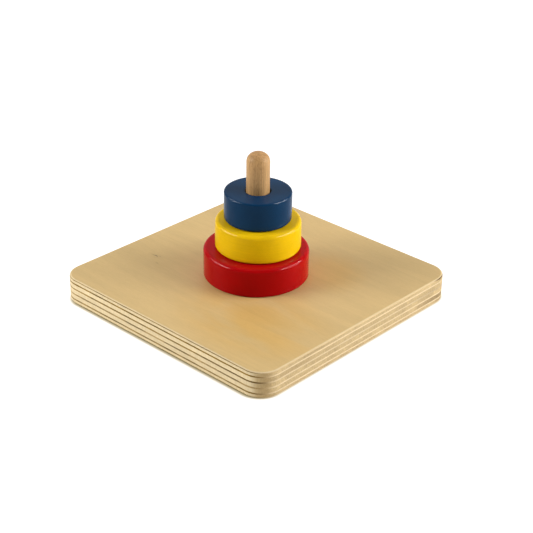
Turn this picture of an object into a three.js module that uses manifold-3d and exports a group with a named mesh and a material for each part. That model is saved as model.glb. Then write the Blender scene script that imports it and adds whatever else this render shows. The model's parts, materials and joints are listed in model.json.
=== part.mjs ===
// Disc stacking toy: a square plywood board carries one upright dowel, and three painted
// wooden discs drop over the dowel in order of size.
// Millimetres, +Z up. The origin is the middle of the board's underside, and X and Y are
// square to the board's sides.

import * as THREE from "three";
import { mergeVertices } from "three/addons/utils/BufferGeometryUtils.js";
import Module from "manifold-3d";

// Board: plywood of 13 plies, laid up the same from both faces.
const BOARD_SIDE = 180;
const BOARD_THICKNESS = 18;
const BOARD_CORNER_RADIUS = 14;
const BOARD_EDGE_RADIUS = 1.5;
const FACE_VENEER = 0.5;
const SECOND_VENEER = 0.5;
const OUTER_PLY = 1.75;
const CROSS_PLY = 1;
const CORE_PLY_COUNT = 3;

// Dowel: stands on the floor of a blind hole, and its top is half an ellipsoid.
const DOWEL_DIAMETER = 15;
const DOWEL_ABOVE_BOARD = 85;
const DOWEL_DOME_HEIGHT = 6;
const DOWEL_FOOT_CHAMFER = 0.8;
const DOWEL_HOLE_DEPTH = 12;

// Discs, from the bottom of the stack up. A loose disc comes to rest a little off the dowel's axis,
// within its hole's clearance, and drift is how far in X and in Y.
const DISC_THICKNESS = 19.5;
const DISC_HOLE_DIAMETER = 16.5;
const DISC_HOLE_EDGE_RADIUS = 0.6;
const DISCS = [
  { name: "red_disc", diameter: 68.5, topRim: 2.5, bottomRim: 1.2, drift: [-0.3, -0.6], colour: 0xb3141a },
  { name: "yellow_disc", diameter: 55.5, topRim: 2.5, bottomRim: 2, drift: [0, 0.7], colour: 0xe6b70f },
  { name: "blue_disc", diameter: 43.5, topRim: 1.2, bottomRim: 2, drift: [-0.3, 0.5], colour: 0x1d3d60 },
];

// Dowel screw: a countersunk wood screw, driven up through the board into the dowel.
const SCREW_LENGTH = 30;
const SCREW_DIAMETER = 4;
const SCREW_CORE_DIAMETER = 3;
const SCREW_HEAD_DIAMETER = 8;
const SCREW_HEAD_RECESS = 0.5;
const SCREW_TIP_LENGTH = 3;
const SCREW_THREAD_PITCH = 1.8;
const SCREW_THREAD_LENGTH = 18;
const SCREW_ROOT_SHARE = 1 / 3; // of each pitch, from the last crest down to the root
const DRIVE_SLOT_LENGTH = 4.4;
const DRIVE_SLOT_WIDTH = 0.9;
const DRIVE_SLOT_DEPTH = 1.2;

const FIT_GAP = 0.3; // round every piece that stands in another one's hole
const CUT_OVERSHOOT = 1; // how far a cutter runs on past the face it opens

// Fineness of the round stretches.
const DISC_SEGMENTS = 64;
const DOWEL_SEGMENTS = 40;
const SCREW_SEGMENTS = 24;
const CORNER_SEGMENTS = 6;
const EDGE_SEGMENTS = 3;
const DOME_SEGMENTS = 7;

const QUARTER_TURN = Math.PI / 2;
const dowelHoleFloor = BOARD_THICKNESS - DOWEL_HOLE_DEPTH;
const dowelTop = BOARD_THICKNESS + DOWEL_ABOVE_BOARD;
const screwHeadHeight = (SCREW_HEAD_DIAMETER - SCREW_DIAMETER) / 2; // a 90 degree countersink
const screwTipZ = SCREW_HEAD_RECESS + SCREW_LENGTH;

const plywoodLong = new THREE.MeshStandardMaterial({ color: 0xe2c390, roughness: 0.6 });
const plywoodCross = new THREE.MeshStandardMaterial({ color: 0xb08d5e, roughness: 0.7 });
const beech = new THREE.MeshStandardMaterial({ color: 0xc59a66, roughness: 0.55 });
const zincSteel = new THREE.MeshStandardMaterial({ color: 0xc4c6c4, roughness: 0.35, metalness: 1 });

// Solid modelling: closed three.js geometries become solids, are joined or cut, and come back.

const wasm = await Module();
wasm.setup();

function toSolid(geometry) {
  const bare = geometry.clone();
  bare.deleteAttribute("normal");
  bare.deleteAttribute("uv");
  const merged = mergeVertices(bare);
  const mesh = new wasm.Mesh({
    numProp: 3,
    vertProperties: merged.attributes.position.array,
    triVerts: new Uint32Array(merged.index.array),
  });
  return new wasm.Manifold(mesh);
}

function toGeometry(solid) {
  const mesh = solid.getMesh();
  const geometry = new THREE.BufferGeometry();
  geometry.setAttribute("position", new THREE.BufferAttribute(mesh.vertProperties, 3));
  geometry.setIndex(new THREE.BufferAttribute(mesh.triVerts, 1));
  geometry.computeVertexNormals();
  return geometry;
}

// Profiles are [radius, height] points, and are turned round the Z axis.

function arc(centreR, centreZ, radiusR, radiusZ, fromTurn, toTurn, segments) {
  const points = [];
  for (let i = 0; i <= segments; i++) {
    const turn = (fromTurn + ((toTurn - fromTurn) * i) / segments) * QUARTER_TURN;
    points.push([centreR + radiusR * Math.cos(turn), centreZ + radiusZ * Math.sin(turn)]);
  }
  return points;
}

function turned(profile, segments) {
  const points = profile.map(([radius, z]) => new THREE.Vector2(Math.max(radius, 0), z));
  const geometry = new THREE.LatheGeometry(points, segments);
  geometry.rotateX(QUARTER_TURN);
  return geometry;
}

// Board: the whole blank with its eased edges and its hole, sliced into plies.

function roundedSquare(side, radius) {
  const half = side / 2;
  const inner = half - radius;
  const shape = new THREE.Shape();
  shape.moveTo(inner, -half);
  shape.absarc(inner, -inner, radius, -QUARTER_TURN, 0);
  shape.absarc(inner, inner, radius, 0, QUARTER_TURN);
  shape.absarc(-inner, inner, radius, QUARTER_TURN, 2 * QUARTER_TURN);
  shape.absarc(-inner, -inner, radius, 2 * QUARTER_TURN, 3 * QUARTER_TURN);
  shape.closePath();
  return shape;
}

function boardBlank() {
  const geometry = new THREE.ExtrudeGeometry(roundedSquare(BOARD_SIDE, BOARD_CORNER_RADIUS), {
    depth: BOARD_THICKNESS - 2 * BOARD_EDGE_RADIUS,
    curveSegments: CORNER_SEGMENTS,
    bevelThickness: BOARD_EDGE_RADIUS,
    bevelSize: BOARD_EDGE_RADIUS,
    bevelOffset: -BOARD_EDGE_RADIUS,
    bevelSegments: EDGE_SEGMENTS,
  });
  geometry.translate(0, 0, BOARD_EDGE_RADIUS);
  return geometry;
}

// The countersink, the screw's clearance hole and the dowel's blind hole, as one turned cutter.
function boardHoleCutter() {
  const headRadius = SCREW_HEAD_DIAMETER / 2 + FIT_GAP;
  const shankRadius = SCREW_DIAMETER / 2 + FIT_GAP;
  const dowelRadius = DOWEL_DIAMETER / 2 + FIT_GAP;
  return turned(
    [
      [0, -CUT_OVERSHOOT],
      [headRadius, -CUT_OVERSHOOT],
      [headRadius, SCREW_HEAD_RECESS],
      [shankRadius, SCREW_HEAD_RECESS + screwHeadHeight],
      [shankRadius, dowelHoleFloor],
      [dowelRadius, dowelHoleFloor],
      [dowelRadius, BOARD_THICKNESS + CUT_OVERSHOOT],
      [0, BOARD_THICKNESS + CUT_OVERSHOOT],
    ],
    DOWEL_SEGMENTS,
  );
}

function plyLayers() {
  const outer = [
    ["bottom_face", FACE_VENEER],
    ["cross", SECOND_VENEER],
    ["long", OUTER_PLY],
    ["cross", CROSS_PLY],
  ];
  const outerThickness = outer.reduce((sum, [, thickness]) => sum + thickness, 0);
  const crossInCore = (CORE_PLY_COUNT - 1) * CROSS_PLY;
  const corePly = (BOARD_THICKNESS - 2 * outerThickness - crossInCore) / CORE_PLY_COUNT;
  const core = [["core", corePly]];
  for (let i = 1; i < CORE_PLY_COUNT; i++) {
    core.push(["cross", CROSS_PLY], ["core", corePly]);
  }
  const upper = outer.toReversed().map(([kind, thickness]) => [kind.replace("bottom", "top"), thickness]);
  return [...outer, ...core, ...upper];
}

function plies() {
  const blank = toSolid(boardBlank()).subtract(toSolid(boardHoleCutter()));
  const layers = plyLayers();
  const meshes = [];
  let z = 0;
  layers.forEach(([kind, thickness], index) => {
    const top = index === layers.length - 1 ? BOARD_THICKNESS : z + thickness;
    const slice = new THREE.BoxGeometry(2 * BOARD_SIDE, 2 * BOARD_SIDE, top - z);
    slice.translate(0, 0, (z + top) / 2);
    const geometry = toGeometry(blank.intersect(toSolid(slice)));
    const mesh = new THREE.Mesh(geometry, kind === "cross" ? plywoodCross : plywoodLong);
    mesh.name = `ply_${String(index + 1).padStart(2, "0")}_${kind}`;
    meshes.push(mesh);
    z = top;
  });
  return meshes;
}

// Dowel: a chamfered foot, a straight shaft, a domed top, and a pilot hole for the screw.

function dowel() {
  const radius = DOWEL_DIAMETER / 2;
  const pilotRadius = SCREW_DIAMETER / 2 + FIT_GAP;
  const pilotTop = screwTipZ + FIT_GAP;
  const domeBase = dowelTop - DOWEL_DOME_HEIGHT;
  const profile = [
    [0, pilotTop],
    [pilotRadius, pilotTop],
    [pilotRadius, dowelHoleFloor],
    [radius - DOWEL_FOOT_CHAMFER, dowelHoleFloor],
    [radius, dowelHoleFloor + DOWEL_FOOT_CHAMFER],
    ...arc(0, domeBase, radius, DOWEL_DOME_HEIGHT, 0, 1, DOME_SEGMENTS),
  ];
  const mesh = new THREE.Mesh(turned(profile, DOWEL_SEGMENTS), beech);
  mesh.name = "dowel";
  return mesh;
}

// Screw: a countersunk head with a cross drive, a plain neck, thread ridges and a point.

function dowelScrew() {
  const radius = SCREW_DIAMETER / 2;
  const coreRadius = SCREW_CORE_DIAMETER / 2;
  const threadEnd = screwTipZ - SCREW_TIP_LENGTH;
  const ridgeCount = SCREW_THREAD_LENGTH / SCREW_THREAD_PITCH;
  const profile = [
    [0, SCREW_HEAD_RECESS],
    [SCREW_HEAD_DIAMETER / 2, SCREW_HEAD_RECESS],
    [radius, SCREW_HEAD_RECESS + screwHeadHeight],
    [radius, threadEnd - SCREW_THREAD_LENGTH],
  ];
  for (let i = 0; i < ridgeCount; i++) {
    const rootZ = threadEnd - SCREW_THREAD_LENGTH + i * SCREW_THREAD_PITCH;
    profile.push([coreRadius, rootZ + SCREW_THREAD_PITCH * SCREW_ROOT_SHARE]);
    profile.push([radius, rootZ + SCREW_THREAD_PITCH]);
  }
  profile.push([coreRadius, threadEnd]);
  profile.push([0, screwTipZ]);

  const slotBottom = SCREW_HEAD_RECESS + DRIVE_SLOT_DEPTH;
  const slotOne = new THREE.BoxGeometry(DRIVE_SLOT_LENGTH, DRIVE_SLOT_WIDTH, 2 * DRIVE_SLOT_DEPTH);
  const slotTwo = new THREE.BoxGeometry(DRIVE_SLOT_WIDTH, DRIVE_SLOT_LENGTH, 2 * DRIVE_SLOT_DEPTH);
  slotOne.translate(0, 0, slotBottom - DRIVE_SLOT_DEPTH);
  slotTwo.translate(0, 0, slotBottom - DRIVE_SLOT_DEPTH);
  const drive = toSolid(slotOne).add(toSolid(slotTwo));
  const solid = toSolid(turned(profile, SCREW_SEGMENTS)).subtract(drive);
  const mesh = new THREE.Mesh(toGeometry(solid), zincSteel);
  mesh.name = "dowel_screw";
  return mesh;
}

// Discs: flat rings with a rounded rim, turned at rest height and stacked by position.

function disc({ name, diameter, topRim, bottomRim, colour }) {
  const outer = diameter / 2;
  const hole = DISC_HOLE_DIAMETER / 2;
  const edge = DISC_HOLE_EDGE_RADIUS;
  const top = DISC_THICKNESS;
  const profile = [
    ...arc(outer - bottomRim, bottomRim, bottomRim, bottomRim, -1, 0, EDGE_SEGMENTS),
    ...arc(outer - topRim, top - topRim, topRim, topRim, 0, 1, EDGE_SEGMENTS),
    ...arc(hole + edge, top - edge, edge, edge, 1, 2, EDGE_SEGMENTS - 1),
    ...arc(hole + edge, edge, edge, edge, 2, 3, EDGE_SEGMENTS - 1),
  ];
  profile.push(profile[0]);
  const paint = new THREE.MeshStandardMaterial({ color: colour, roughness: 0.35 });
  const mesh = new THREE.Mesh(turned(profile, DISC_SEGMENTS), paint);
  mesh.name = name;
  return mesh;
}

function discStack() {
  const stack = new THREE.Group();
  stack.position.z = BOARD_THICKNESS;
  DISCS.forEach((spec, level) => {
    const mesh = disc(spec);
    mesh.position.set(...spec.drift, level * DISC_THICKNESS);
    stack.add(mesh);
  });
  return stack;
}

const toy = new THREE.Group();
toy.name = "disc_stacking_toy";
toy.add(...plies(), dowel(), dowelScrew(), discStack());

export default toy;
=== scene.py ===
"""Looks for a disc stacking toy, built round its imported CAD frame.

The thirteen plies of the board, the dowel, its screw and the three painted discs each get a finer
mesh than the CAD solid it stands for, in the same place, and a node-based material of its own.
Metres, +Z up; the lengths named below are in millimetres and are turned into metres by MM. Patterns
and marks in the materials are laid out in plain millimetres.
"""

import json
import math

import bmesh
import bpy
import numpy as np
from mathutils import Matrix, Vector, noise


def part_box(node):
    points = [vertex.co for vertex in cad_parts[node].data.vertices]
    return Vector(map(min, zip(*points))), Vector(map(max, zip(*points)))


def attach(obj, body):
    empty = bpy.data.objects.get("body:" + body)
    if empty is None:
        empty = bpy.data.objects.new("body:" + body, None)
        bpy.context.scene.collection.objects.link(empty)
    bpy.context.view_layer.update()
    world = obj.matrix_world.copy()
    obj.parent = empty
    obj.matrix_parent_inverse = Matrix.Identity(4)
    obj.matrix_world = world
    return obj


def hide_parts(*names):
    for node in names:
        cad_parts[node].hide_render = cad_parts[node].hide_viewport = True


MM = 0.001
SAME_PLACE = 0.001 * MM  # points nearer than this are one point

# Board: shape details that a box around a ply doesn't give.
CORNER_RADIUS = 14 * MM
EDGE_RADIUS = 1.5 * MM
CORNER_STEPS = 18
SIDE_STEPS = 44
EDGE_STEPS = 8
SEAM_WAVE = 0.13  # height of a seam's waves, as a share of the thinner ply beside it
SEAM_WAVE_LENGTH = 22 * MM
SEAM_RIPPLE = 0.4  # height of the ripples on the waves, as a share of the waves' height
SEAM_RIPPLES_PER_WAVE = 3.1
GROOVE_DEPTH = 0.06 * MM
GROOVE_HALF_WIDTH = 0.08 * MM
END_GRAIN_SINK = 0.05 * MM  # end grain sands down a little further than long grain

# Rings across a ply's face, from its edge (0) to its hole (1), and how far in the edge's waves
# reach.
FACE_RINGS = (0.003, 0.03, 0.2, 0.5, 0.8, 0.97)
FACE_FLAT_FROM = 1 / 30

# Holes under and in the board.
COUNTERSINK_RADIUS = 4.3 * MM
SHANK_HOLE_RADIUS = 2.3 * MM
HEAD_RECESS = 0.5 * MM
HOLE_LIP = 0.25 * MM
GLUE_GAP = 0.03 * MM  # between the dowel and its hole

# Dowel.
DOME_HEIGHT = 6 * MM
DOME_BREAK = 0.09 * MM  # the small ledge where the dome was cut
FOOT_CHAMFER = 0.8 * MM
DOWEL_SEGMENTS = 128
DOWEL_RELIEF = 0.012 * MM  # depth of the grain's furrows
DOWEL_FURROWS_ROUND = 9
DOWEL_FURROW_LENGTH = 12 * MM
PILOT_HOLE_SPARE = 0.1 * MM  # how far the hole for the screw goes past its point

# Screw.
SCREW_HEAD_GAP = 0.3 * MM  # between the head and its countersink
SCREW_HEAD_BREAK = (0.2 * MM, 0.12 * MM)  # the head's broken edge: in radius, in height
SCREW_RADIUS = 2 * MM
SCREW_CORE_RADIUS = 1.5 * MM
SCREW_PITCH = 1.8 * MM
SCREW_THREAD_LENGTH = 18 * MM
SCREW_TIP_LENGTH = 3 * MM
SCREW_POINT_RADIUS = 0.25 * MM
SCREW_SEGMENTS = 48
DRIVE_SLOT_LENGTH = 4.4 * MM
DRIVE_SLOT_WIDTH = 0.9 * MM
DRIVE_SLOT_DEPTH = 1.2 * MM
DRIVE_SLOT_TAPER = 0.55  # the cutter's size at its top, as a share of its size at its foot

# Discs.
DISC_HOLE_RADIUS = 8.25 * MM
DISC_HOLE_EDGE = 0.6 * MM
DISC_SEGMENTS = 256
TURNING_RELIEF = 0.012 * MM
OUT_OF_ROUND = 0.03 * MM

# Each disc's rim: the radius of its top edge and of its bottom edge.
RIMS = {
    "red_disc": (2.5 * MM, 1.2 * MM),
    "yellow_disc": (2.5 * MM, 2.0 * MM),
    "blue_disc": (1.2 * MM, 2.0 * MM),
}

# Wood colours, linear, as seen along the grain and on the end grain. The thin cross plies are a
# darker wood at their ends than the thick plies are.
FACE_COLOUR = (0.59, 0.411, 0.174)
# Tint for the warm places on the face veneer; one of them is painted shade.
WARM_PATCH_AND_SHADOW_TINT = (1.0, 0.90, 0.68)
MARK_COLOUR = (0.10, 0.055, 0.02)
LONG_PLY_COLOURS = ((0.72, 0.577, 0.345), (0.485, 0.36, 0.19))
CROSS_PLY_COLOURS = ((0.67, 0.535, 0.34), (0.20, 0.108, 0.010))
DOWEL_COLOURS = ((0.50, 0.289, 0.115), (0.50, 0.280, 0.110))
FLECK_COLOUR = (0.27, 0.12, 0.04)
ZINC = (0.62, 0.63, 0.62)

# Wood patterns: their sizes in millimetres along and across the grain.
BAND_SIZE = (90, 9)
FIBRE_SIZE = (7, 0.35)
PORE_SIZE = (3.2, 0.28)
STREAK_SIZE = (40, 1.1)

# Between these lie nearly all values of a noise.
NOISE_SPAN = (0.3, 0.7)

# Depth of the bumps on each surface.
PLY_BUMP = 0.03 * MM
VENEER_BUMP = 0.02 * MM
DOWEL_BUMP = 0.03 * MM
PAINT_BUMP = 0.018 * MM
ZINC_BUMP = 0.02 * MM

# Specular levels.
PLY_SHINE = 0.05
FACE_SHINE = 0.4
FACE_EDGE_SHINE = 0.1
DOWEL_SHINE = 0.25

# How far the clouds on the end grain swing its lightness.
END_SWING_LONG = 0.1
END_SWING_CROSS = 0.4
END_SWING_OTHER = 0.15

# How far the face veneer pales on its eased edge, partly for sanding and partly as a painted
# highlight where the lights catch the rounding: all round, and more where that faces across the
# grain.
EDGE_SANDING_AND_HIGHLIGHT = (0.75, 0.10)

# Each ply, bottom ply first: its lightness along the grain, and how far its end grain goes towards
# that colour.
PLY_SHADES = (
    (1.00, 0.00),
    (1.00, 0.04),
    (1.02, 0.00),
    (1.00, 0.13),
    (0.97, 0.03),
    (1.00, 0.22),
    (1.00, 0.00),
    (0.97, 0.08),
    (1.02, 0.00),
    (1.03, 0.02),
    (1.00, 0.06),
    # Ply 12 lies on the eased top edge: its extra lightness along the grain is a painted highlight.
    (1.18, 0.05),
    (1.00, 0.00),
)

# At the rounded corners the plies' colours run together and are tinted darker and browner.
SMEARED_COLOUR = (0.50, 0.38, 0.20)
CORNER_SMEAR = 0.35
CORNER_TINT = (0.92, 0.85, 0.74)

# A corner's look goes by the X part of the way the edge faces: its value at a corner's middle, how
# far from that the look starts, and how near to it the look is full.
CORNER_FACING = 0.7
CORNER_REACH = (0.38, 0.1)

# Dark stretches that show at the board's edge: ply number, middle and half size in millimetres, and
# darkness. The last is painted shade in a small void at ply 12 near the right corner.
PLY_MARKS = (
    (3, (88, 84, 2), (8, 14, 9), 0.30),
    (5, (88, 74, 5), (8, 28, 9), 0.45),
    (8, (66, -88, 11), (40, 8, 9), 0.65),
    (8, (88, 76, 11), (8, 36, 9), 0.30),
    (9, (88, -60, 13), (8, 26, 9), 0.25),
    (11, (88, -48, 16), (8, 18, 9), 0.12),
    # Painted shade in a small void at ply 12 near the right corner.
    (12, (89.5, 79.5, 17.25), (7, 9, 2), 1.00),
)

# Marks on the face veneer, a bird's eye first: middle and half size in millimetres, and darkness.
FACE_MARKS = (
    ((-64, -29.3), (3.4, 0.8), 0.70),
    ((-61, -27.8), (1.6, 0.6), 0.22),
    ((-55, -35.5), (2.6, 0.7), 0.20),
    ((-63, -29.5), (9.0, 3.0), 0.10),
    ((21, 88), (1.0, 0.5), 0.40),
)

# Warm places on the face veneer: middle and half size in millimetres. The first is broken into
# streaks; the second is painted shade, a warmer, darker place in the shadow the stack casts to its
# right.
WARM_STREAKS = ((42, -48), (70, 48))
WARM_SHADOW_SPOT = ((32, 30), (34, 34))
WARM_SHADOW_SPOT_SHARE = 0.9

# Paints: colour, shine, roughness, and how strongly the lathe's fine rings show through.
PAINTS = {
    "red_disc": ((0.385, 0.0025, 0.0035), 0.06, 0.13, 1.0),
    "yellow_disc": ((0.75, 0.465, 0.003), 0.06, 0.15, 3.0),
    "blue_disc": ((0.0030, 0.0295, 0.079), 0.09, 0.18, 1.0),
}

# The painted contact shadow, a dark line on the floor where the board stands: how far inside the
# board's contact edge it starts in X and in Y, and how wide it is.
CONTACT_SHADOW_INSET = (1.2 * MM, -0.2 * MM)
CONTACT_SHADOW_WIDTH = 4.0 * MM
CONTACT_SHADOW_TINT = (1.0, 0.84, 0.45)

# Distances from the stack between which the floor's glow changes from near to far.
GLOW_NEAR = 200 * MM
GLOW_FAR = 350 * MM

# Camera: degrees and millimetres, round the middle of the board's top.
CAMERA_AZIMUTH = 42.81
CAMERA_ELEVATION = 28.14
CAMERA_ROLL = 0.888
CAMERA_DISTANCE = 891.4 * MM
CAMERA_SHIFT = (6.2 * MM, 3.6 * MM)
CAMERA_LENS = 92.47
CAMERA_SENSOR = 36.0

# Lights: turn from the camera's azimuth and elevation in degrees; distance from the stack, width
# and height in metres; power in watts.
LIGHTS = {
    "left_softbox": (-82, 28, 0.9, 0.50, 0.46, 7.2),
    "left_strip": (-86, 30, 0.9, 0.90, 0.09, 16.0),
    "right_low_softbox": (90, 12, 1.5, 1.00, 0.56, 17.0),
    "right_middle_softbox": (75, 28, 1.5, 0.84, 0.67, 6.9),
    "right_high_softbox": (84, 45, 1.5, 0.84, 0.67, 5.9),
    "right_strip": (84, 28, 0.9, 0.80, 0.12, 18.0),
    "back_panel": (180, 27, 1.2, 2.4, 1.1, 4.5),
    "top_panel": (180, 75, 1.2, 1.2, 1.2, 4.2),
}
GLINT_ONLY = ("left_strip", "right_strip")  # seen only as reflections in the painted discs
LIGHTS_AIM_HEIGHT = 40 * MM


# Frame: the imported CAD's own sizes, bodies and slots.

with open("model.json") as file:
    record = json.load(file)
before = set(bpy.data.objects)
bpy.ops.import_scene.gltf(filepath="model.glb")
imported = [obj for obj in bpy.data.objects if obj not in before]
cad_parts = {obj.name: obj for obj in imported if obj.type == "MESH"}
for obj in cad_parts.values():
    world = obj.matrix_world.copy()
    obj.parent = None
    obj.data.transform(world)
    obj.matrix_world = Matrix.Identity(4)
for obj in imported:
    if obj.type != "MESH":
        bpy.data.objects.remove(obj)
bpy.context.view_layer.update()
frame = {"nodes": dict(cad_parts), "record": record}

slots = {part["node"]: part["material_slot"] for part in frame["record"]["subparts"]}
bodies = {}
for body, members in frame["record"]["behaviour"]["bodies"].items():
    for node in members:
        bodies[node] = body

ply_nodes = sorted(node for node in frame["nodes"] if node.startswith("ply_"))
ply_boxes = [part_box(node) for node in ply_nodes]
seam_heights = [ply_boxes[0][0].z] + [box[1].z for box in ply_boxes]
board_top = seam_heights[-1]
board_half_side = max(box[1].x for box in ply_boxes)
dowel_low, dowel_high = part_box("dowel")
dowel_radius = (dowel_high.x - dowel_low.x) / 2
hole_floor = dowel_low.z
screw_low, screw_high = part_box("dowel_screw")
painted = bpy.data.collections.new("painted")


# Meshes: rings of points, joined ring to ring.


def ring_mesh(name, rings, closes):
    """A mesh through rings of points. A ring is an (n, 3) array that runs counter-clockwise seen
    from above, or one point where the surface meets its axis. The rings run out along the
    underside, up the outside and back in over the top, so the faces point outwards. closes joins
    the last ring to the first."""
    counts = [len(ring) for ring in rings]
    starts = [sum(counts[:i]) for i in range(len(counts))]
    pairs = [(i, i + 1) for i in range(len(rings) - 1)]
    if closes:
        pairs.append((len(rings) - 1, 0))
    faces = []
    for low, high in pairs:
        count = max(counts[low], counts[high])
        for i in range(count):
            j = (i + 1) % count
            if counts[low] == 1:
                faces.append((starts[low], starts[high] + j, starts[high] + i))
            elif counts[high] == 1:
                faces.append((starts[low] + i, starts[low] + j, starts[high]))
            else:
                corners = (starts[low] + i, starts[low] + j, starts[high] + j, starts[high] + i)
                faces.append(corners)
    mesh = bpy.data.meshes.new(name)
    mesh.from_pydata(np.concatenate(rings).tolist(), [], faces)
    mesh.validate()
    return mesh


def add_object(name, mesh, sharp_degrees):
    mesh.shade_smooth()
    mesh.set_sharp_from_angle(angle=math.radians(sharp_degrees))
    piece = bpy.data.objects.new(name, mesh)
    bpy.context.scene.collection.objects.link(piece)
    return piece


def arc(centre, radii, start, end, steps):
    """Profile points (radius, z) along an ellipse's arc; start and end are in quarter turns."""
    points = []
    for i in range(steps + 1):
        angle = (start + (end - start) * i / steps) * math.pi / 2
        radius = centre[0] + radii[0] * math.cos(angle)
        z = centre[1] + radii[1] * math.sin(angle)
        points.append((radius, z))
    return points


def straight(start, end, steps):
    """Profile points between start and end, without either of them."""
    points = []
    for i in range(1, steps):
        share = i / steps
        points.append(tuple(a + (b - a) * share for a, b in zip(start, end)))
    return points


def turned_rings(profile, segments, relief=None):
    """Rings round the Z axis. relief(angle, radius, z) is how far a point stands out from the
    profile."""
    angles = [2 * math.pi * i / segments for i in range(segments)]
    rings = []
    for radius, z in profile:
        if radius == 0:
            rings.append(np.array([(0, 0, z)]))
            continue
        points = []
        for angle in angles:
            reach = radius + (relief(angle, radius, z) if relief else 0)
            points.append((reach * math.cos(angle), reach * math.sin(angle), z))
        rings.append(np.array(points))
    return rings


# Board.


def board_outline(half_side):
    """Points round a square with rounded corners, and the outward direction at each."""
    inner = half_side - CORNER_RADIUS
    points, outward = [], []
    for quarter in range(4):
        turn = quarter * math.pi / 2
        centre = Matrix.Rotation(turn, 2) @ Vector((inner, inner))
        for i in range(CORNER_STEPS):
            angle = turn + math.pi / 2 * i / CORNER_STEPS
            direction = Vector((math.cos(angle), math.sin(angle)))
            points.append(centre + direction * CORNER_RADIUS)
            outward.append(direction)
        direction = Vector((math.cos(turn + math.pi / 2), math.sin(turn + math.pi / 2)))
        start = centre + direction * CORNER_RADIUS
        along = Vector((-direction.y, direction.x))
        for i in range(SIDE_STEPS):
            points.append(start + along * (2 * inner * i / SIDE_STEPS))
            outward.append(direction)
    return np.array(points), np.array(outward)


outline, outward = board_outline(board_half_side)


def is_cross(index):
    """Every second ply has its grain along Y; the others, with both faces, have theirs along X."""
    return index % 2 == 1


def seam_waves(seam, height):
    """How far the seam stands above its plain height at each of the outline's points."""
    waves = []
    for x, y in outline:
        place = Vector((x / SEAM_WAVE_LENGTH, y / SEAM_WAVE_LENGTH, seam * 3))
        ripple = SEAM_RIPPLE * noise.noise(place * SEAM_RIPPLES_PER_WAVE)
        waves.append(height * (noise.noise(place) + ripple))
    return np.array(waves)


def hole_profile(low, high, floor, bore_radius):
    """The board's hole between two heights, as (radius, z) points going up."""
    countersink_top = HEAD_RECESS + COUNTERSINK_RADIUS - SHANK_HOLE_RADIUS
    whole = [
        (COUNTERSINK_RADIUS, 0),
        (COUNTERSINK_RADIUS, HEAD_RECESS),
        (SHANK_HOLE_RADIUS, countersink_top),
        (SHANK_HOLE_RADIUS, floor),
        (bore_radius, floor),
        (bore_radius, board_top - HOLE_LIP),
        (bore_radius + HOLE_LIP, board_top),
    ]
    heights = [z for _, z in whole]
    radii = [radius for radius, _ in whole]

    def radius_at(z, side):
        """Radius at a height; side picks the lower (-1) or upper (1) of two at a step."""
        nudge = 1e-9 * side
        return float(np.interp(z + nudge, heights, radii))

    inside = [(radius, z) for radius, z in whole if low + SAME_PLACE < z < high - SAME_PLACE]
    return [(radius_at(low, 1), low)] + inside + [(radius_at(high, -1), high)]


def edge_inset(z):
    """How far the eased edge draws the outline in at a height."""
    from_face = np.minimum(z, board_top - z)
    reach = np.clip(EDGE_RADIUS - from_face, 0, EDGE_RADIUS)
    return EDGE_RADIUS - np.sqrt(EDGE_RADIUS**2 - reach**2)


def wall_heights(low, high):
    """Heights for the rings up a ply's edge, close together where the board's edge is eased."""
    heights = [low, low + GROOVE_HALF_WIDTH, high - GROOVE_HALF_WIDTH, high]
    for i in range(EDGE_STEPS + 1):
        rise = EDGE_RADIUS * (1 - math.cos(math.pi / 2 * i / EDGE_STEPS))
        heights += [rise, board_top - rise]
    inside = sorted(z for z in heights if low <= z <= high)
    kept = [inside[0]]
    for z in inside[1:]:
        if z - kept[-1] > GROOVE_HALF_WIDTH / 3:
            kept.append(z)
    kept[-1] = high
    return kept


def ply_mesh(index, wave_heights, grain):
    """One ply: a sheet with a hole, with wavy seams round its edge that its neighbours share."""
    low, high = seam_heights[index], seam_heights[index + 1]
    low_wave = seam_waves(index, wave_heights[index])
    high_wave = seam_waves(index + 1, wave_heights[index + 1])
    end_grain_share = (outward @ np.array(grain)) ** 2

    def edge_ring(z, groove):
        share = (z - low) / (high - low)
        inset = edge_inset(z) + groove + END_GRAIN_SINK * end_grain_share
        inner = outline - outward * inset[:, None]
        height = z + low_wave * (1 - share) + high_wave * share
        return np.column_stack([inner, height])

    def round_ring(radius, z):
        """A circle with a point towards each of the outline's points."""
        angles = np.arctan2(outline[:, 1], outline[:, 0])
        heights = np.full(len(angles), z)
        return np.column_stack([radius * np.cos(angles), radius * np.sin(angles), heights])

    def flat_rings(z, edge, hole_radius):
        """From the edge ring in to the hole, flat but for the edge's waves."""
        hole = round_ring(hole_radius, z)
        rings = []
        for share in FACE_RINGS:
            inner = edge[:, :2] * (1 - share) + hole[:, :2] * share
            height = z + (edge[:, 2] - z) * max(0, 1 - share / FACE_FLAT_FROM)
            rings.append(np.column_stack([inner, height]))
        rings.append(hole)
        return rings

    wall = []
    for z in wall_heights(low, high):
        at_seam = z in (low, high) and 0 < z < board_top
        wall.append(edge_ring(z, GROOVE_DEPTH if at_seam else 0))
    hole = hole_profile(low, high, hole_floor, dowel_radius + GLUE_GAP)
    under = flat_rings(low, wall[0], hole[0][0])[::-1]
    over = flat_rings(high, wall[-1], hole[-1][0])
    bore = [round_ring(radius, z) for radius, z in hole[1:-1][::-1]]
    return ring_mesh(ply_nodes[index], under + wall + over + bore, closes=True)


# Dowel and screw.


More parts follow.
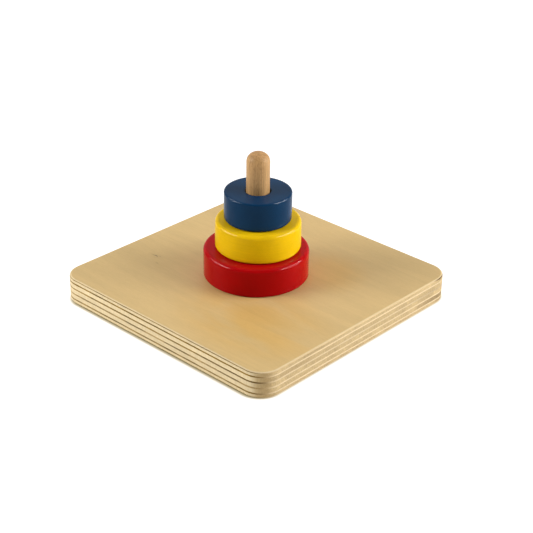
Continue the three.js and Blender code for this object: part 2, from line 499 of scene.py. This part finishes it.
def dowel_mesh(low, high, radius, pilot_top):
    """The rod: a pilot hole, a chamfered foot, a straight shaft with a fine grain, and a dome."""
    dome_base = high - DOME_HEIGHT
    profile = [(0, pilot_top), (SCREW_RADIUS, pilot_top), (SCREW_RADIUS, low)]
    profile += [(radius - FOOT_CHAMFER, low), (radius, low + FOOT_CHAMFER)]
    profile += straight((radius, low + FOOT_CHAMFER), (radius, dome_base - DOME_BREAK), 40)
    profile += [(radius, dome_base - DOME_BREAK), (radius - DOME_BREAK / 2, dome_base)]
    profile += arc((0, dome_base), (radius - DOME_BREAK, DOME_HEIGHT), 0.02, 0.97, 22)
    profile.append((0, high))

    def relief(angle, at_radius, z):
        if at_radius < radius / 2:
            return 0
        x = math.cos(angle) * DOWEL_FURROWS_ROUND
        y = math.sin(angle) * DOWEL_FURROWS_ROUND
        return -DOWEL_RELIEF * abs(noise.noise(Vector((x, y, z / DOWEL_FURROW_LENGTH))))

    return ring_mesh("dowel", turned_rings(profile, DOWEL_SEGMENTS, relief), closes=False)


def screw_mesh(low, high):
    """A countersunk wood screw: a head, a neck, a thread that winds up the core, and a point."""
    head_radius = COUNTERSINK_RADIUS - SCREW_HEAD_GAP
    head_top = low + head_radius - SCREW_RADIUS
    thread_end = high - SCREW_TIP_LENGTH
    thread_start = thread_end - SCREW_THREAD_LENGTH
    break_in, break_up = SCREW_HEAD_BREAK
    profile = [(0, low), (head_radius - break_in, low), (head_radius, low + break_up)]
    profile += [(SCREW_RADIUS, head_top), (SCREW_RADIUS, thread_start)]
    profile += straight((SCREW_RADIUS, thread_start), (SCREW_RADIUS, thread_end), 160)
    profile += [(SCREW_RADIUS, thread_end)]
    profile += straight((SCREW_RADIUS, thread_end), (SCREW_POINT_RADIUS, high), 24)
    profile.append((0, high))

    def relief(angle, radius, z):
        if z < thread_start or radius > SCREW_RADIUS:
            return 0
        turn = ((z - thread_start) / SCREW_PITCH - angle / (2 * math.pi)) % 1
        crest = max(0, 1 - abs(turn - 0.5) * 4)
        run_in = min(1, (z - thread_start) / SCREW_PITCH)
        depth = (SCREW_RADIUS - SCREW_CORE_RADIUS) * radius / SCREW_RADIUS
        return -depth * (1 - crest) * run_in

    return ring_mesh("screw", turned_rings(profile, SCREW_SEGMENTS, relief), closes=False)


def tapered_slot(length, width, low):
    """A cutter for one arm of the screw's cross drive, open below and narrower at its upper end."""
    corners = []
    for z, share in ((low - DRIVE_SLOT_DEPTH, 1), (low + DRIVE_SLOT_DEPTH, DRIVE_SLOT_TAPER)):
        x, y = length / 2 * share, width / 2 * share
        corners.append(np.array([(x, -y, z), (x, y, z), (-x, y, z), (-x, -y, z)]))
    bottom = np.array([(0, 0, low - DRIVE_SLOT_DEPTH)])
    top = np.array([(0, 0, low + DRIVE_SLOT_DEPTH)])
    return ring_mesh("slot", [bottom] + corners + [top], closes=False)


def cut(piece, cutter_mesh):
    """Takes the cutter's shape out of the piece for good, and merges the points this doubles."""
    cutter = bpy.data.objects.new("cutter", cutter_mesh)
    bpy.context.scene.collection.objects.link(cutter)
    boolean = piece.modifiers.new("cut", "BOOLEAN")
    boolean.operation = "DIFFERENCE"
    boolean.solver = "EXACT"
    boolean.object = cutter
    bpy.context.view_layer.update()
    graph = bpy.context.evaluated_depsgraph_get()
    result = bpy.data.meshes.new_from_object(piece.evaluated_get(graph))
    merged = bmesh.new()
    merged.from_mesh(result)
    bmesh.ops.remove_doubles(merged, verts=merged.verts, dist=SAME_PLACE)
    merged.to_mesh(result)
    merged.free()
    piece.modifiers.clear()
    piece.data = result
    bpy.data.objects.remove(cutter)


# Discs.


def disc_mesh(name, low, high, radius):
    """A flat ring with a rounded rim, left faintly ridged by the lathe under its paint."""
    top_rim, bottom_rim = RIMS[name]
    hole, edge = DISC_HOLE_RADIUS, DISC_HOLE_EDGE
    profile = arc((hole + edge, low + edge), (edge, edge), 2, 3, 6)
    profile += straight((hole + edge, low), (radius - bottom_rim, low), 30)
    profile += arc((radius - bottom_rim, low + bottom_rim), (bottom_rim, bottom_rim), -1, 0, 12)
    profile += straight((radius, low + bottom_rim), (radius, high - top_rim), 50)
    profile += arc((radius - top_rim, high - top_rim), (top_rim, top_rim), 0, 1, 14)
    profile += straight((radius - top_rim, high), (hole + edge, high), 40)
    profile += arc((hole + edge, high - edge), (edge, edge), 1, 2, 6)

    def relief(angle, at_radius, z):
        if at_radius < radius - max(top_rim, bottom_rim):
            return 0
        lathe = noise.noise(Vector((at_radius / MM * 2, z / MM * 1.7, len(name))))
        rise = len(name) + z / (40 * MM)
        round_about = noise.noise(Vector((math.cos(angle), math.sin(angle), rise)))
        return -TURNING_RELIEF * (1 + lathe) - OUT_OF_ROUND * (1 + round_about) / 2

    return ring_mesh(name, turned_rings(profile, DISC_SEGMENTS, relief), closes=True)


# Materials: each one is a Principled surface with its colour, roughness and bump from nodes.


class Shader:
    """A node material. Most methods add a node and return its output socket."""

    def __init__(self, name):
        self.material = bpy.data.materials.new(name)
        self.material.use_nodes = True
        self.nodes = self.material.node_tree.nodes
        self.links = self.material.node_tree.links
        self.surface = self.nodes["Principled BSDF"]

    def feed(self, socket, value):
        if isinstance(value, bpy.types.NodeSocket):
            self.links.new(value, socket)
        elif socket.type == "RGBA":
            socket.default_value = (*value, 1)
        else:
            socket.default_value = value

    def add(self, kind, inputs, output=0, **settings):
        node = self.nodes.new(kind)
        for key, value in settings.items():
            setattr(node, key, value)
        for key, value in inputs.items():
            self.feed(node.inputs[key], value)
        return node.outputs[output]

    def math(self, operation, a, b=0.0):
        return self.add("ShaderNodeMath", {0: a, 1: b}, operation=operation)

    def times(self, a, b):
        return self.math("MULTIPLY", a, b)

    def vector_math(self, operation, a, b=(0, 0, 0), output=0):
        return self.add("ShaderNodeVectorMath", {0: a, 1: b}, output, operation=operation)

    def scaled(self, vector, scale):
        return self.vector_math("MULTIPLY", vector, scale)

    def length(self, vector):
        return self.vector_math("LENGTH", vector, output="Value")

    def part(self, vector, axis_name):
        """One part of a vector: X, Y or Z."""
        return self.add("ShaderNodeSeparateXYZ", {0: vector}, axis_name)

    def noise(self, vector, scale, detail=2.0, roughness=0.5, distortion=0.0):
        inputs = {
            "Vector": vector,
            "Scale": scale,
            "Detail": detail,
            "Roughness": roughness,
            "Distortion": distortion,
        }
        return self.add("ShaderNodeTexNoise", inputs)

    def step(self, value, start, end, low=0.0, high=1.0):
        """Runs smoothly from low to high as value goes from start to end."""
        inputs = {"Value": value, "From Min": start, "From Max": end, "To Min": low, "To Max": high}
        return self.add("ShaderNodeMapRange", inputs, interpolation_type="SMOOTHSTEP")

    def swing(self, pattern, low, high):
        """Runs from low to high over the values that a noise usually has."""
        return self.step(pattern, *NOISE_SPAN, low, high)

    def either(self, share, low, high):
        """low where share is 0, high where it is 1."""
        return self.add("ShaderNodeMapRange", {"Value": share, "To Min": low, "To Max": high})

    def mix(self, share, a, b, blend="MIX"):
        node = self.nodes.new("ShaderNodeMix")
        node.data_type = "RGBA"
        node.blend_type = blend
        self.feed(node.inputs[0], share)
        self.feed(node.inputs[6], a)
        self.feed(node.inputs[7], b)
        return node.outputs[2]

    def shade(self, colour, amount):
        """The colour times a grey amount."""
        grey = self.add("ShaderNodeCombineColor", {0: amount, 1: amount, 2: amount})
        return self.mix(1.0, colour, grey, "MULTIPLY")

    def normal(self):
        """The way the surface faces."""
        return self.add("ShaderNodeTexCoord", {}, "Normal")

    def here(self):
        """The point on the piece in millimetres."""
        return self.scaled(self.add("ShaderNodeTexCoord", {}, "Object"), (1 / MM,) * 3)

    def place(self, seed):
        """The point on the piece in millimetres, moved by a seed so that no two pieces match."""
        return self.vector_math("ADD", self.here(), (seed * 37.0, seed * 53.0, seed * 71.0))

    def finish(self, colour, roughness, height, depth, **plain):
        self.feed(self.surface.inputs["Base Color"], colour)
        self.feed(self.surface.inputs["Roughness"], roughness)
        bump = self.add("ShaderNodeBump", {"Height": height, "Distance": depth, "Strength": 1.0})
        self.feed(self.surface.inputs["Normal"], bump)
        for key, value in plain.items():
            self.feed(self.surface.inputs[key.replace("_", " ")], value)
        return self.material


def along_grain(axis, along, across):
    """Scales for a pattern drawn out along the grain, from its sizes in millimetres."""
    return tuple(1 / along if share else 1 / across for share in axis)


def end_share(shader, axis):
    """1 where the surface cuts across the grain, 0 where it runs along it."""
    along = shader.vector_math("DOT_PRODUCT", shader.normal(), axis, "Value")
    facing = shader.math("ABSOLUTE", along)
    return shader.step(facing, 0.35, 0.9)


def wood(shader, axis, long_colour, end_colour, seed, figure=1.0, end_swing=END_SWING_OTHER):
    """Long grain with bands, fibres and pores, and speckled end grain. Gives the point that the
    pattern is laid out by, the colour and the height; figure is how strong the long grain shows."""
    point = shader.place(seed)
    bands = shader.noise(shader.scaled(point, along_grain(axis, *BAND_SIZE)), 1.0, 3.0, 0.55, 0.6)
    fibres = shader.noise(shader.scaled(point, along_grain(axis, *FIBRE_SIZE)), 1.0, 3.0, 0.6)
    pores = shader.noise(shader.scaled(point, along_grain(axis, *PORE_SIZE)), 1.0, 1.0)
    pore_share = shader.step(pores, 0.62, 0.72)
    tone = shader.swing(bands, 1 - 0.07 * figure, 1 + 0.05 * figure)
    fibre_tone = shader.swing(fibres, 1 - 0.055 * figure, 1 + 0.04 * figure)
    pore_tone = shader.math("SUBTRACT", 1.0, shader.times(pore_share, 0.11 * figure))
    long_tone = shader.times(shader.times(tone, fibre_tone), pore_tone)
    long_grain = shader.shade(long_colour, long_tone)

    vessels = shader.noise(point, 1.2, 4.0, 0.65)
    clouds = shader.noise(shader.scaled(point, (1 / 14, 1 / 14, 1 / 50)), 1.0, 3.0, 0.6)
    end_tone = shader.times(
        shader.step(vessels, 0.3, 0.72, 0.82, 1.14),
        shader.step(clouds, 0.33, 0.67, 1 - end_swing, 1 + end_swing),
    )
    end_grain = shader.shade(end_colour, end_tone)
    ends = end_share(shader, axis)
    colour = shader.mix(ends, long_grain, end_grain)
    height = shader.math("SUBTRACT", fibres, shader.times(pore_share, 0.6))
    return point, colour, height


def spot(shader, point, centre, size):
    """1 at a place, falling to 0 at an ellipsoid round it: half sizes in millimetres. With only two
    numbers for each it is a place on the board's face, at any height."""
    away = shader.vector_math("SUBTRACT", point, (*centre, 0)[:3])
    shrink = [1 / half for half in size]
    reach = shader.length(shader.scaled(away, (*shrink, 0)[:3]))
    return shader.step(reach, 1.0, 0.25)


def with_marks(shader, colour, point, marks):
    """The colour with dark marks on it. A mark is its middle, its half size and its darkness."""
    for centre, size, darkness in marks:
        dark = shader.times(spot(shader, point, centre, size), darkness)
        colour = shader.mix(dark, colour, MARK_COLOUR)
    return colour


def ply_material(name, index, axis, colours):
    """An inner ply, seen at the board's edge: saw marks, blurred corners and its own dark marks."""
    shader = Shader(name)
    end_swing = END_SWING_CROSS if is_cross(index) else END_SWING_LONG
    point, colour, height = wood(shader, axis, *colours, index, end_swing=end_swing)
    saw = shader.noise(shader.scaled(point, (0.9, 0.9, 0.25)), 1.0, 2.0)
    colour = shader.shade(colour, shader.swing(saw, 0.94, 1.05))
    facing = shader.math("ABSOLUTE", shader.part(shader.normal(), "X"))
    from_corner = shader.math("ABSOLUTE", shader.math("SUBTRACT", facing, CORNER_FACING))
    corner = shader.step(from_corner, *CORNER_REACH)
    colour = shader.mix(shader.times(corner, CORNER_SMEAR), colour, SMEARED_COLOUR)
    colour = shader.mix(corner, colour, shader.mix(1.0, colour, CORNER_TINT, "MULTIPLY"))
    marks = [mark for number, *mark in PLY_MARKS if number == index + 1]
    colour = with_marks(shader, colour, shader.here(), marks)
    roughness = shader.step(height, 0.0, 0.8, 0.72, 0.6)
    return shader.finish(colour, roughness, height, PLY_BUMP, Specular_IOR_Level=PLY_SHINE)


def face_material(name, index, axis):
    """The face veneer: pale and faintly banded, with warm places and a few marks, and paler still
    round its sanded edge, partly as a painted highlight. One warm place is painted shade in the
    stack's shadow."""
    shader = Shader(name)
    _, colour, height = wood(shader, axis, FACE_COLOUR, LONG_PLY_COLOURS[1], index, figure=0.6)
    here = shader.here()
    drift = shader.noise(shader.scaled(here, (1 / 60, 1 / 22, 1)), 1.0, 2.0, 0.5, 0.8)
    streaks = shader.times(spot(shader, here, *WARM_STREAKS), shader.step(drift, 0.25, 0.6))
    # Painted shade: the stack's shadow to its right is made warmer and darker.
    warm_shadow = shader.times(spot(shader, here, *WARM_SHADOW_SPOT), WARM_SHADOW_SPOT_SHARE)
    warm = shader.math("MAXIMUM", streaks, warm_shadow)
    colour = shader.mix(warm, colour, shader.mix(1.0, colour, WARM_PATCH_AND_SHADOW_TINT, "MULTIPLY"))
    wobble = shader.noise(here, 0.35, 1.0)
    bent = shader.vector_math("ADD", here, shader.scaled(wobble, (0, 3.0, 0)))
    colour = with_marks(shader, colour, bent, FACE_MARKS)
    # The eased edge is paled, partly for sanding and partly as a painted highlight.
    facing = shader.vector_math("ABSOLUTE", shader.normal())
    turned_down = shader.step(shader.part(facing, "Z"), 0.995, 0.9)
    across_grain = shader.step(shader.part(facing, "Y"), 0.05, 0.35)
    all_round, more_across = EDGE_SANDING_AND_HIGHLIGHT
    paleness = shader.times(turned_down, all_round)
    paleness = shader.math("ADD", paleness, shader.times(across_grain, more_across))
    colour = shader.mix(paleness, colour, LONG_PLY_COLOURS[0])
    roughness = shader.step(height, 0.0, 0.8, 0.56, 0.42)
    shine = shader.mix(turned_down, (FACE_SHINE,) * 3, (FACE_EDGE_SHINE,) * 3)
    return shader.finish(colour, roughness, height, VENEER_BUMP, Specular_IOR_Level=shine)


def dowel_material(name):
    """Turned beech: streaks along the grain and small dark ray flecks."""
    shader = Shader(name)
    axis = (0, 0, 1)
    point, colour, height = wood(shader, axis, *DOWEL_COLOURS, seed=5, figure=1.2)
    drawn_out = shader.scaled(point, along_grain(axis, *STREAK_SIZE))
    streaks = shader.noise(drawn_out, 1.0, 2.0, 0.5, 0.3)
    colour = shader.shade(colour, shader.step(streaks, 0.33, 0.67, 0.86, 1.10))
    rays = shader.noise(shader.scaled(point, (1 / 0.55, 1 / 0.55, 1 / 1.9)), 1.0, 0.0)
    flecks = shader.step(rays, 0.60, 0.72)
    colour = shader.mix(shader.times(flecks, 0.36), colour, FLECK_COLOUR)
    roughness = shader.step(height, 0.0, 0.8, 0.55, 0.42)
    return shader.finish(colour, roughness, height, DOWEL_BUMP, Specular_IOR_Level=DOWEL_SHINE)


def paint_material(name, colour, shine, roughness, ringing, seed):
    """Semi-gloss paint over turned wood: slight clouding, lathe rings and an orange peel."""
    shader = Shader(name)
    point = shader.here()
    clouds = shader.noise(point, 0.07, 3.0, 0.55)
    grain = shader.noise(shader.scaled(point, (1 / 14, 1 / 0.8, 1 / 0.8)), 1.0, 3.0, 0.6)
    tone = shader.times(
        shader.swing(clouds, 0.95, 1.04),
        shader.swing(grain, 0.975, 1.02),
    )
    radius = shader.length(shader.scaled(point, (1, 1, 0)))
    along_profile = shader.math("ADD", radius, shader.part(point, "Z"))
    ring_inputs = {
        "W": shader.math("ADD", along_profile, seed * 17.0),
        "Scale": 2.2,
        "Detail": 3.0,
        "Roughness": 0.6,
    }
    rings = shader.add("ShaderNodeTexNoise", ring_inputs, noise_dimensions="1D")
    peel = shader.noise(point, 1.3, 1.0)
    height = shader.math("ADD", shader.times(rings, 0.6), shader.times(peel, 0.35))
    height = shader.math("ADD", height, shader.times(grain, 0.25))
    depth = 0.012 * ringing
    tone = shader.times(tone, shader.swing(rings, 1 - depth, 1 + depth))
    roughness = shader.swing(clouds, roughness * 1.15, roughness * 0.85)
    shaded = shader.shade(colour, tone)
    return shader.finish(shaded, roughness, height, PAINT_BUMP, Specular_IOR_Level=shine)


def zinc_material(name):
    """Bright zinc plate, lightly scuffed."""
    shader = Shader(name)
    point = shader.place(2)
    scuffs = shader.noise(shader.scaled(point, (1, 1, 4)), 1.5, 4.0, 0.65)
    colour = shader.shade(ZINC, shader.swing(scuffs, 0.82, 1.08))
    roughness = shader.swing(scuffs, 0.42, 0.26)
    return shader.finish(colour, roughness, scuffs, ZINC_BUMP, Metallic=1.0)


# Stage.


def towards(azimuth, elevation):
    """The direction of a place: its azimuth is 0 at -Y and a quarter turn at +X."""
    level = math.cos(elevation)
    return Vector((math.sin(azimuth) * level, -math.cos(azimuth) * level, math.sin(elevation)))


def softbox(name, turn, elevation, distance, width, height, power):
    """A rectangular light that faces the stack. One that is listed as glint only shows only as a
    reflection in the painted discs."""
    light = bpy.data.lights.new(name, "AREA")
    light.shape = "RECTANGLE"
    light.size = width
    light.size_y = height
    light.energy = power
    lamp = bpy.data.objects.new(name, light)
    back = towards(math.radians(CAMERA_AZIMUTH + turn), math.radians(elevation))
    lamp.location = Vector((0, 0, LIGHTS_AIM_HEIGHT)) + back * distance
    lamp.rotation_mode = "QUATERNION"
    lamp.rotation_quaternion = back.to_track_quat("Z", "Y")
    lamp.visible_camera = False
    if name in GLINT_ONLY:
        lamp.visible_diffuse = False
        lamp.light_linking.receiver_collection = painted
    bpy.context.scene.collection.objects.link(lamp)


def add_world(ambient):
    """White to the camera, and a dimmer grey as a light."""
    world = bpy.data.worlds.new("studio")
    bpy.context.scene.world = world
    world.use_nodes = True
    nodes, links = world.node_tree.nodes, world.node_tree.links
    background = nodes["Background"]
    path = nodes.new("ShaderNodeLightPath")
    level = nodes.new("ShaderNodeMapRange")
    level.inputs["To Min"].default_value = ambient
    level.inputs["To Max"].default_value = 1.0
    links.new(path.outputs["Is Camera Ray"], level.inputs["Value"])
    links.new(level.outputs["Result"], background.inputs["Strength"])
    background.inputs["Color"].default_value = (1, 1, 1, 1)


def add_floor(size, albedo, near_glow, far_glow, seen_glow, mirrored_glow):
    """A pale floor that looks near white, and far off as white as the background, with a painted
    contact shadow: a dark line where the board stands on it. As a light its glow is stronger near
    the board than far from it, and in glossy reflections it is weaker than it looks; it fades out
    towards the board's foot, inside the painted shadow."""
    mesh = bpy.data.meshes.new("floor")
    corners = [(-size, -size, 0), (size, -size, 0), (size, size, 0), (-size, size, 0)]
    mesh.from_pydata(corners, [], [(0, 1, 2, 3)])
    floor = bpy.data.objects.new("floor", mesh)
    floor.location.z = -0.02 * MM
    bpy.context.scene.collection.objects.link(floor)

    shader = Shader("floor")
    place = shader.add("ShaderNodeTexCoord", {}, "Object")
    folded = shader.vector_math("ABSOLUTE", place)
    straight_halves = [board_half_side - CORNER_RADIUS - inset for inset in CONTACT_SHADOW_INSET]
    beyond = shader.vector_math("SUBTRACT", folded, (*straight_halves, 0))
    beyond = shader.vector_math("MAXIMUM", beyond, (0, 0, 0))
    start = CORNER_RADIUS - EDGE_RADIUS
    # Painted contact shadow: the floor darkens and browns along the board's foot, to the camera and
    # as a light.
    clear = shader.step(shader.length(beyond), start, start + CONTACT_SHADOW_WIDTH)
    from_stack = shader.length(place)
    lit = shader.step(from_stack, GLOW_NEAR, GLOW_FAR, near_glow, far_glow)
    seen = shader.step(from_stack, GLOW_NEAR, GLOW_FAR, seen_glow, 1.0)
    for_glints = shader.add("ShaderNodeLightPath", {}, "Is Glossy Ray")
    for_camera = shader.add("ShaderNodeLightPath", {}, "Is Camera Ray")
    level = shader.either(for_glints, lit, mirrored_glow)
    level = shader.either(for_camera, level, seen)
    surface = shader.surface.inputs
    contact_shadow_albedo = tuple(albedo * share for share in CONTACT_SHADOW_TINT)
    shader.feed(surface["Base Color"], shader.mix(clear, contact_shadow_albedo, (albedo,) * 3))
    shader.feed(surface["Roughness"], 0.9)
    shader.feed(surface["Specular IOR Level"], 0.0)
    shader.feed(surface["Emission Color"], shader.mix(clear, CONTACT_SHADOW_TINT, (1, 1, 1)))
    shader.feed(surface["Emission Strength"], shader.math("MULTIPLY", clear, level))
    mesh.materials.append(shader.material)


def add_camera():
    azimuth, elevation, roll = map(math.radians, (CAMERA_AZIMUTH, CAMERA_ELEVATION, CAMERA_ROLL))
    back = towards(azimuth, elevation)
    level_right = back.cross(Vector((0, 0, -1))).normalized()
    level_up = back.cross(level_right)
    right = level_right * math.cos(roll) + level_up * math.sin(roll)
    up = level_up * math.cos(roll) - level_right * math.sin(roll)
    place = Vector((0, 0, board_top)) + back * CAMERA_DISTANCE
    place += right * CAMERA_SHIFT[0] + up * CAMERA_SHIFT[1]
    data = bpy.data.cameras.new("camera")
    data.sensor_width = CAMERA_SENSOR
    data.lens = CAMERA_LENS
    data.clip_start = 0.05
    data.clip_end = 50
    camera = bpy.data.objects.new("camera", data)
    turn = Matrix((right, up, back)).transposed().to_4x4()
    camera.matrix_world = Matrix.Translation(place) @ turn
    bpy.context.scene.collection.objects.link(camera)
    bpy.context.scene.camera = camera


# Build.


def set_in_place(piece, node, material):
    """The piece stands for a CAD node: it takes the node's body, and its own material."""
    piece.data.materials.clear()
    piece.data.materials.append(material)
    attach(piece, bodies[node])
    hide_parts(node)


def ply_colours(index):
    """A ply's colours along its grain and on its end grain."""
    along, end = CROSS_PLY_COLOURS if is_cross(index) else LONG_PLY_COLOURS
    lightness, paleness = PLY_SHADES[index]
    long_colour = tuple(part * lightness for part in along)
    end_colour = tuple(e + (part - e) * paleness for part, e in zip(long_colour, end))
    return long_colour, end_colour


def build_board():
    thicknesses = [high - low for low, high in zip(seam_heights, seam_heights[1:])]
    waves = [0.0]
    for below, above in zip(thicknesses, thicknesses[1:]):
        waves.append(SEAM_WAVE * min(below, above))
    waves.append(0.0)
    for index, node in enumerate(ply_nodes):
        grain = (0, 1) if is_cross(index) else (1, 0)
        piece = add_object(node + "_finished", ply_mesh(index, waves, grain), sharp_degrees=35)
        if slots[node] == "plywood_face":
            material = face_material(node, index, (*grain, 0))
        else:
            material = ply_material(node, index, (*grain, 0), ply_colours(index))
        set_in_place(piece, node, material)


def build_dowel():
    pilot_top = screw_high.z + PILOT_HOLE_SPARE
    mesh = dowel_mesh(dowel_low.z, dowel_high.z, dowel_radius, pilot_top)
    piece = add_object("dowel_finished", mesh, sharp_degrees=50)
    set_in_place(piece, "dowel", dowel_material("dowel"))


def build_screw():
    mesh = screw_mesh(screw_low.z, screw_high.z)
    piece = add_object("dowel_screw_finished", mesh, sharp_degrees=35)
    cut(piece, tapered_slot(DRIVE_SLOT_LENGTH, DRIVE_SLOT_WIDTH, screw_low.z))
    cut(piece, tapered_slot(DRIVE_SLOT_WIDTH, DRIVE_SLOT_LENGTH, screw_low.z))
    set_in_place(piece, "dowel_screw", zinc_material("zinc"))


def build_discs():
    for seed, (node, paint) in enumerate(PAINTS.items()):
        low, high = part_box(node)
        mesh = disc_mesh(node, low.z, high.z, (high.x - low.x) / 2)
        mesh.transform(Matrix.Translation(((low.x + high.x) / 2, (low.y + high.y) / 2, 0)))
        piece = add_object(node + "_finished", mesh, sharp_degrees=40)
        painted.objects.link(piece)
        set_in_place(piece, node, paint_material(node, *paint, seed))


build_board()
build_dowel()
build_screw()
build_discs()

add_floor(size=3.0, albedo=0.35, near_glow=0.92, far_glow=0.54, seen_glow=0.85, mirrored_glow=0.35)
add_world(ambient=0.04)
for light_name, settings in LIGHTS.items():
    softbox(light_name, *settings)
add_camera()
bpy.context.scene.view_settings.view_transform = "Standard"
